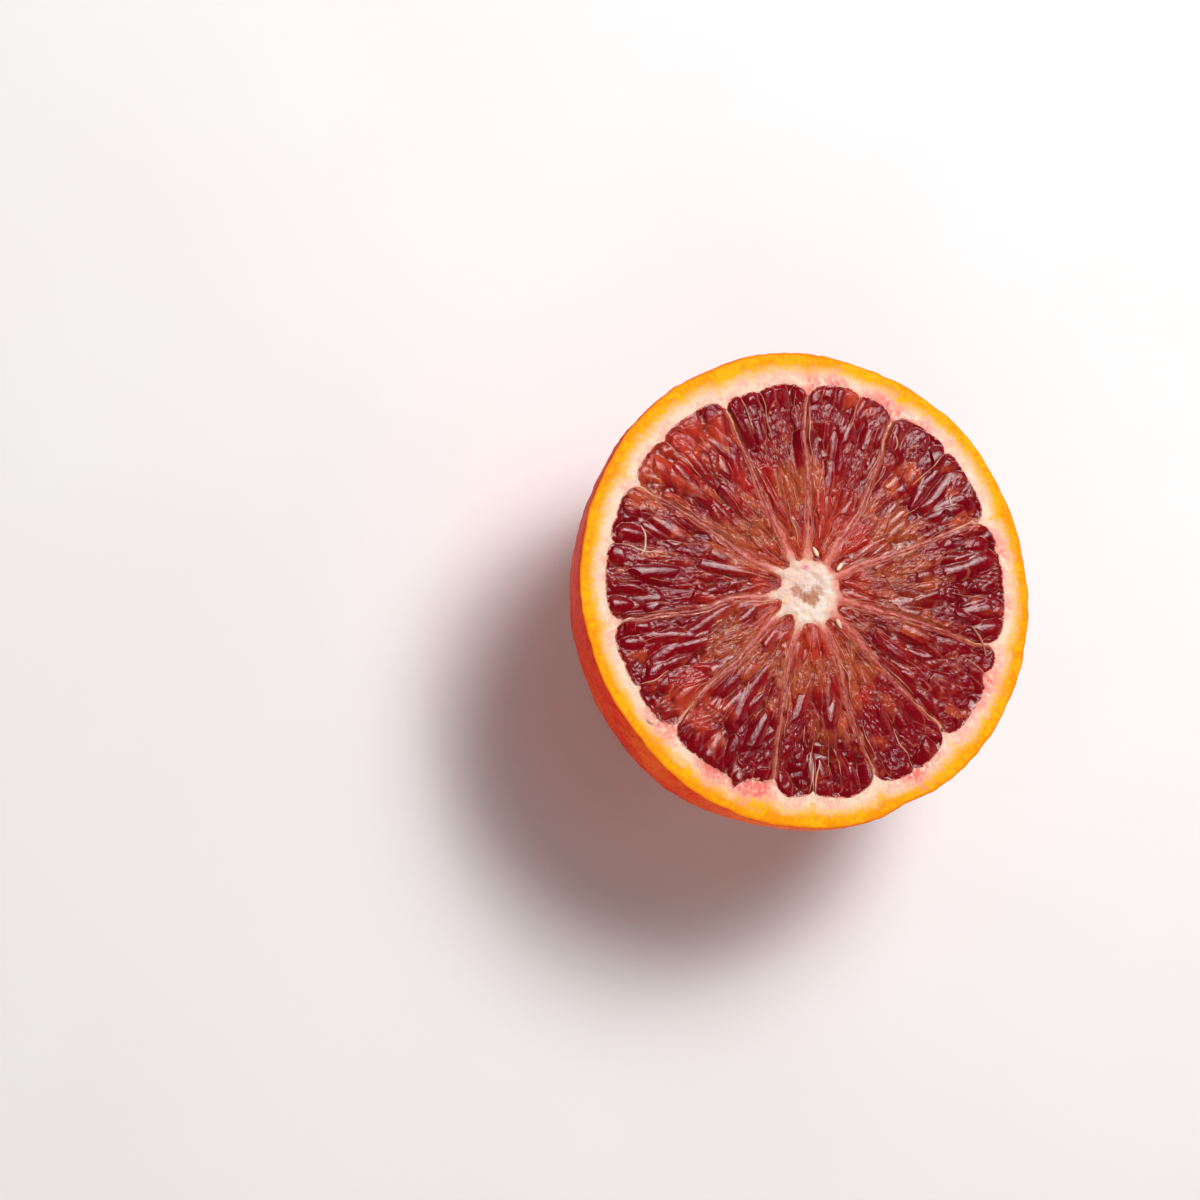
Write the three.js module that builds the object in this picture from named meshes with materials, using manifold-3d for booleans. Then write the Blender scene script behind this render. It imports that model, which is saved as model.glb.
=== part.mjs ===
// Half of a blood orange, cut across its middle and lying on its rounded skin, cut face up.
// Millimetres, +Z up. The origin is the middle of the small flat spot that the half rests on,
// +Z leaves the cut face, and angles on the face run anticlockwise from +X.

import * as THREE from 'three';
import { mergeVertices } from 'three/addons/utils/BufferGeometryUtils.js';
import Module from 'manifold-3d';

// The whole half
const faceRadius = 38;
const halfHeight = 40;
const restRadius = 6;
const rindColumns = 72;
const rindRings = 8;

// The cut peel, from its edge inwards
const rimRounding = 0.5;
const flavedoWidth = 2.4;
const albedoSink = 0.2;

// The segments' pockets in the cut face
const fleshRadius = 33.6;
const fleshOval = 0.4;
const fleshOvalAngle = 10;
const pocketDepth = 1.1;
const cornerRounding = 3.4;
const cornerDrop = 1.3;
const membraneAtRind = 0.5;
const membraneAtCore = 1.0;
const coreRadius = 5.6;
const pocketTipRadius = 6.6;
const pocketSideRadii = [7.8, 14, 22];
const pocketArcSteps = 6;
const pocketClearance = 1;

// Membranes in order round the face, each by its angle at the rind and at the core, in degrees
const membranes = [
  [21, 23],
  [61, 52],
  [88, 90],
  [114.5, 121],
  [151, 153],
  [191, 192],
  [224, 221],
  [257, 252],
  [288.5, 288],
  [314, 315],
  [345, 343],
];

// Juice vesicles lie in rows across every segment, from the rind to the core. A vesicle's
// profile is the share of its length from the full end, and the share of its full width there.
const vesicleRows = [
  { radius: 30.4, length: 6.2 },
  { radius: 24.6, length: 8.0 },
  { radius: 17.6, length: 9.0 },
  { radius: 11.0, length: 7.4 },
];
const vesicleWidth = 3.7;
const vesicleHeight = 2.3;
const vesicleSides = 6;
const vesicleBelowCut = 1.15;
const vesicleProfile = [
  [0.12, 0.66],
  [0.42, 1.0],
  [0.80, 0.58],
];
const angleScatter = 0.14;
const lengthScatter = 0.14;
const heightScatter = 0.16;
const tiltScatter = 5;
const scatterSeed = 7;

// The pithy core with its torn hollow
const hollowRadius = 2.3;
const hollowDepth = 3;
const hollowPlace = [0.2, -0.5];
const hollowLobes = 5;
const hollowLobeDepth = 0.25;
const hollowFloor = { radius: 0.6, depth: 0.7 };

// Undeveloped seeds beside the core: angle and radius of the middle, angle the seed lies at
const seeds = [
  { angle: 78, radius: 6.0, lie: 110 },
  { angle: 34, radius: 6.4, lie: 35 },
  { angle: 308.5, radius: 6.9, lie: 300 },
];
const seedLength = 1.9;
const seedWidth = 1.0;
const seedSink = 0.25;

// A nick torn in the pith at the lower left
const nick = { angle: 245, radius: 34.2, length: 7.5, width: 1.7, depth: 0.7 };

const radians = THREE.MathUtils.degToRad;
const lerp = THREE.MathUtils.lerp;

const wasm = await Module();
wasm.setup();

// A number from 0 to 1, the same series each time
let scatterState = scatterSeed;
function scatter() {
  scatterState = (scatterState * 16807) % 2147483647;
  return scatterState / 2147483647;
}

function around(value, share) {
  return value * (1 + share * (2 * scatter() - 1));
}

function solid(geometry) {
  geometry.deleteAttribute('normal');
  geometry.deleteAttribute('uv');
  const merged = mergeVertices(geometry, 1e-4);
  return new wasm.Manifold(new wasm.Mesh({
    numProp: 3,
    vertProperties: merged.attributes.position.array,
    triVerts: new Uint32Array(merged.index.array),
  }));
}

function geometryOf(body) {
  const mesh = body.getMesh();
  const geometry = new THREE.BufferGeometry();
  geometry.setAttribute('position', new THREE.BufferAttribute(mesh.vertProperties, mesh.numProp));
  geometry.setIndex(new THREE.BufferAttribute(mesh.triVerts, 1));
  geometry.computeVertexNormals();
  return geometry;
}

// A lathe about Z from [radius, height] points that start and end on the axis
function turned(points, columns) {
  const profile = points.map(([r, z]) => new THREE.Vector2(r, z));
  return new THREE.LatheGeometry(profile, columns).rotateX(Math.PI / 2);
}

// The dome is part of an ellipsoid, widest at the cut and ending in the flat spot
function fruitBody() {
  const domeDepth = halfHeight / Math.sqrt(1 - (restRadius / faceRadius) ** 2);
  const lastTurn = Math.acos(restRadius / faceRadius);
  const points = [[0, 0]];
  for (let ring = rindRings; ring >= 0; ring--) {
    const turn = lastTurn * ring / rindRings;
    const z = halfHeight - domeDepth * Math.sin(turn);
    points.push([faceRadius * Math.cos(turn), Math.min(z, halfHeight - rimRounding)]);
  }
  const flavedoEdge = faceRadius - flavedoWidth;
  points.push([faceRadius - rimRounding, halfHeight]);
  points.push([flavedoEdge, halfHeight]);
  points.push([flavedoEdge - 1, halfHeight - albedoSink]);
  points.push([0, halfHeight - albedoSink]);
  return solid(turned(points, rindColumns));
}

function segmentSides(index) {
  const low = membranes[index];
  const next = membranes[(index + 1) % membranes.length];
  const wrap = index === membranes.length - 1 ? 360 : 0;
  return { low, high: [next[0] + wrap, next[1] + wrap] };
}

function outerRadius(angle) {
  return fleshRadius + fleshOval * Math.cos(radians(2 * (angle - fleshOvalAngle)));
}

// The angle of a membrane's middle line at a radius
function membraneAngle([atRind, atCore], radius) {
  const share = THREE.MathUtils.clamp((radius - coreRadius) / (fleshRadius - coreRadius), 0, 1);
  return lerp(atCore, atRind, share);
}

// A point beside a membrane, half its thickness away; side is 1 for anticlockwise of it
function besideMembrane(membrane, radius, side) {
  const share = (radius - coreRadius) / (fleshRadius - coreRadius);
  const thickness = lerp(membraneAtCore, membraneAtRind, share);
  const angle = radians(membraneAngle(membrane, radius)) + side * thickness / 2 / radius;
  return new THREE.Vector2(radius * Math.cos(angle), radius * Math.sin(angle));
}

// A pocket's outline: up one membrane, round two soft corners under the pith, down the other
function pocketShape({ low, high }) {
  const middle = (low[1] + high[1]) / 2;
  const lowCorner = outerRadius(low[0]) - cornerDrop;
  const highCorner = outerRadius(high[0]) - cornerDrop;
  const inset = THREE.MathUtils.radToDeg(cornerRounding / fleshRadius);
  const shape = new THREE.Shape();
  const tip = besideMembrane([middle, middle], pocketTipRadius, 0);
  shape.moveTo(tip.x, tip.y);
  for (const radius of [...pocketSideRadii, lowCorner - cornerRounding]) {
    const p = besideMembrane(low, radius, 1);
    shape.lineTo(p.x, p.y);
  }
  for (let step = 0; step <= pocketArcSteps; step++) {
    const angle = lerp(low[0] + inset, high[0] - inset, step / pocketArcSteps);
    const radius = outerRadius(angle);
    const p = new THREE.Vector2(radius, 0).rotateAround(new THREE.Vector2(), radians(angle));
    if (step === 0) {
      const corner = besideMembrane(low, lowCorner, 1);
      shape.quadraticCurveTo(corner.x, corner.y, p.x, p.y);
    } else {
      shape.lineTo(p.x, p.y);
    }
  }
  const corner = besideMembrane(high, highCorner, -1);
  const down = besideMembrane(high, highCorner - cornerRounding, -1);
  shape.quadraticCurveTo(corner.x, corner.y, down.x, down.y);
  for (const radius of pocketSideRadii.toReversed()) {
    const p = besideMembrane(high, radius, -1);
    shape.lineTo(p.x, p.y);
  }
  shape.closePath();
  return shape;
}

function pocket(sides) {
  const geometry = new THREE.ExtrudeGeometry(pocketShape(sides), {
    depth: pocketDepth + pocketClearance,
    bevelEnabled: false,
    curveSegments: 3,
  });
  return solid(geometry.translate(0, 0, halfHeight - pocketDepth));
}

// A drop lying along X, its full end outwards and its thin end towards the core
function drop(length, width, height) {
  const points = vesicleProfile.map(([share, full]) => [full / 2, 0.5 - share]);
  const profile = [[0, 0.5], ...points, [0, -0.5]].reverse();
  const geometry = turned(profile, vesicleSides);
  return geometry.rotateY(Math.PI / 2).scale(length, width, height);
}

function vesicle({ low, high }, row, place, count) {
  const lowAngle = membraneAngle(low, row.radius);
  const span = membraneAngle(high, row.radius) - lowAngle;
  const width = radians(span) * row.radius / count;
  const angle = lowAngle + span * (place + 0.5 + angleScatter * (2 * scatter() - 1)) / count;
  const length = around(row.length, lengthScatter);
  const height = around(vesicleHeight, heightScatter);
  const lean = radians(tiltScatter * (2 * scatter() - 1));
  const geometry = drop(length, width, height)
    .rotateY(lean)
    .translate(row.radius, 0, 0)
    .rotateZ(radians(angle))
    .translate(0, 0, halfHeight - vesicleBelowCut);
  return solid(geometry);
}

function vesiclesOf(sides) {
  const drops = [];
  for (const row of vesicleRows) {
    const span = membraneAngle(sides.high, row.radius) - membraneAngle(sides.low, row.radius);
    const count = Math.max(1, Math.round(radians(span) * row.radius / vesicleWidth));
    for (let place = 0; place < count; place++) {
      drops.push(vesicle(sides, row, place, count));
    }
  }
  return drops;
}

// A bowl with a lobed edge, which runs on a little above the face that it cuts
function coreHollow() {
  const columns = 4 * hollowLobes;
  const above = 1;
  const geometry = turned([
    [0, -hollowDepth],
    [hollowRadius * hollowFloor.radius, -hollowDepth * hollowFloor.depth],
    [hollowRadius, 0],
    [hollowRadius, above],
    [0, above],
  ], columns);
  const position = geometry.attributes.position;
  for (let i = 0; i < position.count; i++) {
    const turn = Math.atan2(position.getY(i), position.getX(i));
    const swell = 1 + hollowLobeDepth * Math.cos(hollowLobes * turn);
    position.setXY(i, position.getX(i) * swell, position.getY(i) * swell);
  }
  return solid(geometry.translate(hollowPlace[0], hollowPlace[1], halfHeight));
}

function seed({ angle, radius, lie }) {
  const geometry = new THREE.SphereGeometry(0.5, 6, 5)
    .scale(seedLength, seedWidth, seedWidth)
    .rotateZ(radians(lie - angle))
    .translate(radius, 0, 0)
    .rotateZ(radians(angle))
    .translate(0, 0, halfHeight - seedSink);
  return solid(geometry);
}

function tornNick() {
  const geometry = drop(nick.width, nick.length, 2 * nick.depth)
    .translate(nick.radius, 0, 0)
    .rotateZ(radians(nick.angle))
    .translate(0, 0, halfHeight);
  return solid(geometry);
}

let half = fruitBody();
for (let index = 0; index < membranes.length; index++) {
  half = half.subtract(pocket(segmentSides(index)));
}
half = half.subtract(coreHollow()).subtract(tornNick());
for (let index = 0; index < membranes.length; index++) {
  for (const body of vesiclesOf(segmentSides(index))) {
    half = half.add(body);
  }
}
for (const place of seeds) {
  half = half.add(seed(place));
}

const flesh = new THREE.MeshStandardMaterial({ color: 0x8c1f1c, roughness: 0.3, metalness: 0 });
const orangeHalf = new THREE.Mesh(geometryOf(half), flesh);
orangeHalf.name = 'orange_half';

const model = new THREE.Group();
model.add(orangeHalf);

export default model;
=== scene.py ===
import math
import random

import bmesh
import bpy
import numpy as np
from mathutils import Matrix, Vector, noise


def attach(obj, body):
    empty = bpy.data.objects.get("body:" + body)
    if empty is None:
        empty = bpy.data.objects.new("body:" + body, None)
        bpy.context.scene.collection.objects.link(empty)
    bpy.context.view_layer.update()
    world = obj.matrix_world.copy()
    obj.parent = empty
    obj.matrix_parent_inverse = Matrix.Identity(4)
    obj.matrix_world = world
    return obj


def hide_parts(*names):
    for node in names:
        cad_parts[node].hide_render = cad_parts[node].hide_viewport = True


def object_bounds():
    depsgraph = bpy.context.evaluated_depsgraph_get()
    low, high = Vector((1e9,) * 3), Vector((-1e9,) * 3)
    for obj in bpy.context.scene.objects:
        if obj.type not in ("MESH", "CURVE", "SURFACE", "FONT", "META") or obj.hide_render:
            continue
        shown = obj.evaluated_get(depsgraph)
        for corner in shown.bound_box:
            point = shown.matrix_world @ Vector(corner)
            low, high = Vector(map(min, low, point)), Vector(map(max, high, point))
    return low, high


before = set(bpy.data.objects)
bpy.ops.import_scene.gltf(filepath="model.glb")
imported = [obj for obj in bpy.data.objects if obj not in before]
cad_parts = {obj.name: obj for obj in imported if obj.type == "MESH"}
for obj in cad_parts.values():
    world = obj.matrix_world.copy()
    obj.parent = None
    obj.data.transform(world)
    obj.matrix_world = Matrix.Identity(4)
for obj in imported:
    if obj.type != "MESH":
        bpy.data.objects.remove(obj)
cadLow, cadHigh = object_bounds()

mm = 0.001

# The fruit's own sizes, in millimetres and degrees. Angles run anticlockwise from +X on the face.
fruit = {
    "faceRadius": (cadHigh.x - cadLow.x) / 2 / mm,
    "faceHeight": 40,
    "restRadius": 6,
    "fleshRadius": 33.45,
    "fleshOval": 0.4,
    "fleshOvalAngle": 10,
    "coreRadius": 5.6,
    "membraneAtRind": 0.5,
    "membraneAtCore": 1.7,
    # each membrane's angle at the rind and at the core
    "membranes": [(21, 23), (61, 52), (88, 90), (114.5, 121), (151, 153), (191, 192),
                  (224, 221), (257, 252), (288.5, 288), (314, 315), (345, 343)],
    "membraneSway": [(11, 0.4), (3.2, 0.09)],     # size and amount of the bends
    "swayFades": [(5, 10), (33.5, 30)],     # where they set in beside the core, and beside the rind
    "membraneNotch": (2.2, 1.8),    # how far the pith runs in at each membrane, and its half width
    # where the flesh swells out or draws in, against a plain oval: angle, how far, half width
    "swells": [(44, 0.6, 9), (77, 0.45, 5), (105, -0.6, 7), (246.4, 1.3, 1.1), (252.3, -1.25, 3.6),
               (261.8, 0.5, 2.5), (279, 0.5, 4), (301, 0.5, 5), (336, -1.2, 2.2)],
    # smaller notches between the rounded ends of each segment: angle and depth
    "sideNotches": [(3, 0.3), (12, 0.6), (43, 0.9), (72.5, 0.7), (103, 0.5), (109, 0.5), (124.5, 0.3),
                    (136, 0.9), (162, 0.4), (169, 0.9), (202, 0.3), (209.5, 0.8), (233, 0.3), (269, 1.1),
                    (300.6, 0.9), (325, 0.3), (334, 0.4)],
    "sideNotchWidth": 1.1,
    "stainsWithin": 37,
    # where juice has stained the pith: angle, strength, half width
    "stains": [(52, 0.6, 3), (64, 0.7, 6), (79, 0.8, 3.5), (240, 0.9, 5), (251.5, 1.3, 4.5),
               (301, 1.2, 4), (308, 0.9, 2.5), (333, 0.7, 7), (12, 0.7, 4), (222, 0.6, 5),
               (87, 0.5, 2.5), (356, 0.4, 3)],
}
cut = fruit["faceHeight"]
segments = range(len(fruit["membranes"]))


def between(low, high, share):
    return low + (high - low) * share


def easeBetween(low, high, value):
    share = np.clip((value - low) / (high - low), 0, 1)
    return share * share * (3 - 2 * share)


# How far one angle is from another, from -180 to 180 degrees
def turnFrom(angle, other):
    return (np.asarray(angle) - other + 180) % 360 - 180


def bell(angle, middle, width):
    return np.exp(-(turnFrom(angle, middle) / width) ** 2)


# What several bells add up to, each given by its angle, how much and half width
def swellsAt(angle, swells):
    return sum(amount * bell(angle, middle, width) for middle, amount, width in swells)


# A pointed dip between two rounded ends
def cusp(angle, middle, width):
    return np.exp(-np.abs(turnFrom(angle, middle)) / width)


def fleshEdge(angle):
    oval = np.cos(np.radians(2 * (angle - fruit["fleshOvalAngle"])))
    edge = fruit["fleshRadius"] + fruit["fleshOval"] * oval + swellsAt(angle, fruit["swells"])
    depth, width = fruit["membraneNotch"]
    for atRind, _ in fruit["membranes"]:
        edge = edge - depth * cusp(angle, atRind, width)
    for middle, depth in fruit["sideNotches"]:
        edge = edge - depth * cusp(angle, middle, fruit["sideNotchWidth"])
    return edge


# 0 at the core and 1 at the rind
def shareToRind(radius):
    return np.clip((radius - fruit["coreRadius"]) / (fruit["fleshRadius"] - fruit["coreRadius"]), 0, 1)


# A membrane's angle at a distance from the core: it sways a little on its way to the rind
def membraneAngle(line, radius):
    straight = between(line[1], line[0], shareToRind(radius))
    number = int(line[0]) % 360
    sway = 0
    for size, amount in fruit["membraneSway"]:
        sway = sway + unevenness(radius, 0, 0, size, number) * amount
    for start, end in fruit["swayFades"]:
        sway = sway * easeBetween(start, end, radius)
    return straight + np.degrees(sway / radius)


def membraneThickness(radius):
    return between(fruit["membraneAtCore"], fruit["membraneAtRind"], shareToRind(radius) ** 0.5)


# The two membranes beside a segment, the second one always further round
def segmentSides(index):
    low = fruit["membranes"][index]
    high = fruit["membranes"][(index + 1) % len(segments)]
    return low, high if high[0] > low[0] else (high[0] + 360, high[1] + 360)


# Soft random unevenness in features of about the given size, mostly between -1 and 1
def unevenness(x, y, z, size, seed):
    chance = random.Random(seed)
    waves = 24
    total = 0
    for _ in range(waves):
        way = Vector([chance.gauss(0, 1) for _ in range(3)]).normalized()
        pace = math.tau / (size * chance.uniform(0.8, 1.7))
        total = total + np.cos((x * way.x + y * way.y + z * way.z) * pace + chance.uniform(0, math.tau))
    return total / math.sqrt(waves)


# The sum of several sorts, each given by its size and height
def unevennessOf(x, y, z, sorts, seed):
    return sum(height * unevenness(x, y, z, size, seed + i) for i, (size, height) in enumerate(sorts))


# Angle in degrees and distance from the middle
def polar(x, y):
    return np.degrees(np.arctan2(y, x)), np.hypot(x, y)


def placeAt(turn, radius):
    return radius * np.cos(turn), radius * np.sin(turn)


# A sheet of quads whose two shares, 0 to 1, are turned into places in millimetres
def warpedSheet(columns, rows, place):
    sheet = bmesh.new()
    bmesh.ops.create_grid(sheet, x_segments=columns, y_segments=rows, size=0.5)
    shares = np.array([v.co for v in sheet.verts]) + 0.5
    moveVertices(sheet, *place(shares[:, 0], shares[:, 1]))
    return sheet


def moveVertices(shape, x, y, z):
    for vertex, px, py, pz in zip(shape.verts, x, y, z):
        vertex.co = (px * mm, py * mm, pz * mm)


# Closes a sheet downwards with a skirt and a flat floor
def closeBelow(sheet, floorHeight):
    rim = [e for e in sheet.edges if e.is_boundary]
    skirt = bmesh.ops.extrude_edge_only(sheet, edges=rim)["geom"]
    for vertex in [g for g in skirt if isinstance(g, bmesh.types.BMVert)]:
        vertex.co.z = floorHeight * mm
    lower = [e for e in sheet.edges if e.is_boundary]
    floor = bmesh.ops.contextual_create(sheet, geom=lower)["faces"]
    bmesh.ops.triangulate(sheet, faces=floor)
    bmesh.ops.recalc_face_normals(sheet, faces=sheet.faces)


def meshFrom(name, shape):
    mesh = bpy.data.meshes.new(name)
    shape.to_mesh(mesh)
    shape.free()
    return mesh


def addObject(name, data):
    made = bpy.data.objects.new(name, data)
    bpy.context.scene.collection.objects.link(made)
    return made


def pieceFrom(name, shape, materials):
    mesh = meshFrom(name, shape)
    piece = addObject(name, mesh)
    for material in materials:
        mesh.materials.append(material)
    mesh.polygons.foreach_set("use_smooth", [True] * len(mesh.polygons))
    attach(piece, "root")
    return piece


# A number for every point of a piece that its material can read
def writeAttribute(piece, name, values):
    attribute = piece.data.attributes.new(name, "FLOAT", "POINT")
    attribute.data.foreach_set("value", np.asarray(values, np.float32))


# A sum, difference or the like of a socket's value and another, or of the two turned round
def maths(operation, turned=False):
    def result(value, other):
        first, second = (other, value) if turned else (value, other)
        return value.finish.add("ShaderNodeMath", {"operation": operation}, {0: first, 1: second})

    return result


class Value:
    __add__ = maths("ADD")
    __radd__ = maths("ADD", turned=True)
    __sub__ = maths("SUBTRACT")
    __rsub__ = maths("SUBTRACT", turned=True)
    __mul__ = maths("MULTIPLY")
    __rmul__ = maths("MULTIPLY", turned=True)
    __truediv__ = maths("DIVIDE")
    __pow__ = maths("POWER")

    def __init__(self, finish, socket):
        self.finish = finish
        self.socket = socket

    # 0 below low, 1 above high, smooth between
    def ease(self, low, high):
        settings = {"interpolation_type": "SMOOTHSTEP", "clamp": True}
        return self.finish.add("ShaderNodeMapRange", settings, {0: self, 1: low, 2: high})


class Finish:
    def __init__(self, name):
        self.material = bpy.data.materials.new(name)
        self.material.use_nodes = True
        self.tree = self.material.node_tree
        self.tree.nodes.clear()
        self.place = self.add("ShaderNodeTexCoord", out="Object")

    def add(self, kind, settings=None, sockets=None, out=0):
        node = self.tree.nodes.new(kind)
        for key, value in (settings or {}).items():
            if key == "stops":
                while len(node.color_ramp.elements) < len(value):
                    node.color_ramp.elements.new(0.5)
                for element, (position, colour) in zip(node.color_ramp.elements, value):
                    element.position = position
                    element.color = (*colour, 1)
            else:
                setattr(node, key, value)
        for key, value in (sockets or {}).items():
            if isinstance(value, Value):
                self.tree.links.new(value.socket, node.inputs[key])
            else:
                node.inputs[key].default_value = value
        return Value(self, node.outputs[out]) if node.outputs else None

    # a colour is a mix of others or three plain numbers
    def mix(self, base, other, mask):
        base, other = ((*colour, 1) if isinstance(colour, tuple) else colour for colour in (base, other))
        settings = {"data_type": "RGBA", "clamp_factor": True}
        return self.add("ShaderNodeMix", settings, {0: mask, 6: base, 7: other}, out=2)

    # covers are colours and masks, the later ones on top
    def layers(self, base, covers):
        for colour, mask in covers:
            base = self.mix(base, colour, mask)
        return base

    # size is in millimetres
    def noise(self, size, detail=2, roughness=0.5, distortion=0, place=None):
        sockets = {"Vector": place or self.place, "Scale": 1 / (size * mm), "Detail": detail,
                   "Roughness": roughness, "Distortion": distortion}
        return self.add("ShaderNodeTexNoise", None, sockets)

    def cells(self, size):
        return self.add("ShaderNodeTexVoronoi", None, {"Vector": self.place, "Scale": 1 / (size * mm)})

    def attribute(self, name):
        return self.add("ShaderNodeAttribute", {"attribute_name": name}, None, out="Fac")

    # x, y and z of each point, in millimetres, and its distance from the fruit's middle line
    def axes(self):
        split = self.add("ShaderNodeSeparateXYZ", None, {0: self.place})
        x, y, z = (Value(self, split.socket.node.outputs[i]) / mm for i in range(3))
        return x, y, z, (x * x + y * y) ** 0.5

    # places drawn out along the lines to the core, for streaks that run that way; they keep their
    # width at the given distance from the core
    def drawnOut(self, x, y, radius, stretch, width=20):
        share = radius ** -0.5 * (math.sqrt(width) * mm)
        sockets = {0: x * share, 1: y * share, 2: radius * (mm / stretch)}
        return self.add("ShaderNodeCombineXYZ", None, sockets)

    def bump(self, height, distance, strength):
        sockets = {"Height": height, "Distance": distance * mm, "Strength": strength}
        return self.add("ShaderNodeBump", None, sockets)

    def surface(self, colour, roughness, relief=None, others=None):
        sockets = {"Base Color": colour, "Roughness": roughness, **(others or {})}
        if relief:
            sockets["Normal"] = relief
        shader = self.add("ShaderNodeBsdfPrincipled", None, sockets)
        self.add("ShaderNodeOutputMaterial", None, {"Surface": shader})
        return self.material


# Light that runs on below a moist surface: how much of it, and how far its red, green and blue go
def moist(weight, *reach):
    radii = [length * mm for length in reach]
    return {"Subsurface Weight": weight, "Subsurface Radius": radii, "Subsurface Scale": 1}


# Distance on the face from a place, for numbers and for sockets
def distanceFrom(x, y, px, py):
    dx, dy = x - px, y - py
    return (dx * dx + dy * dy) ** 0.5


camera = {
    "lens": 100,
    "sensor": 36,
    # where the middle of the cut face stands in the picture: right, up and away, in millimetres
    "faceRight": 33,
    "faceUp": 1.9,
    "faceAway": 525.5,
    # the face leans back by tilt towards this direction in the picture, anticlockwise from its right
    "tilt": 20.69,
    "leansTowards": 26.95,
}


def makeCamera():
    lean = math.radians(camera["leansTowards"])
    hinge = Vector((-math.sin(lean), math.cos(lean), 0))
    place = Matrix.Translation(Vector((camera["faceRight"], camera["faceUp"], -camera["faceAway"])) * mm)
    turn = Matrix.Rotation(math.radians(camera["tilt"]), 4, hinge)
    fromFace = Matrix.Translation((0, 0, -cut * mm))
    lensData = bpy.data.cameras.new("camera")
    lensData.lens = camera["lens"]
    lensData.sensor_width = camera["sensor"]
    lensData.clip_start = 0.01
    viewer = addObject("camera", lensData)
    viewer.matrix_world = (place @ turn @ fromFace).inverted()
    bpy.context.scene.camera = viewer


print("camera")
makeCamera()


core = {
    "columns": 440,
    "rows": 64,
    "radius": 5,
    "middle": (0.15, -0.5),
    "arms": (1.1, 9),       # reach and half width in degrees of the arm at each membrane
    "edgeUnevenness": [(1.6, 0.12)],
    "top": -0.03,
    "unevenness": [(2.4, 0.07), (1.15, 0.07), (0.55, 0.02)],
    "unevenWithin": (7, 4.5),       # from where on inwards it sets in, and is whole
    "hollowDepth": 0.4,
    # place, radius and strength of each lobe of the hollow
    "hollows": [(-2.1, -0.5, 1.2, 0.8), (-1, -1.5, 1, 0.65), (0.4, -1.7, 1.5, 0.95),
                (1.5, -0.4, 1.4, 0.6)],
    "hollowRaggedness": [(0.9, 0.16), (0.4, 0.06)],
    "hollowSides": (0.2, 1.4),      # where each lobe's side begins and ends, in shares of its radius
    "crumbs": (-0.9, 0.6, 1.4),     # place and radius of the crumbly part beside it
    "crumbRelief": [(0.35, 0.05)],
    "pinkSpot": (-0.6, 3.3, 0.8),
    "shoulder": 0.15,       # how far its edge rounds down
    "floorBelowCut": 3.5,
    "seed": 50,
}


def coreEdge(angle):
    edge = core["radius"] + np.zeros(np.shape(angle))
    reach, width = core["arms"]
    for _, atCore in fruit["membranes"]:
        edge = edge + reach * bell(angle, atCore, width)
    x, y = placeAt(np.radians(angle), 1)
    edge = edge + core["middle"][0] * x + core["middle"][1] * y
    return edge + unevennessOf(core["radius"] * x, core["radius"] * y, 0, core["edgeUnevenness"], 7)


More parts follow.
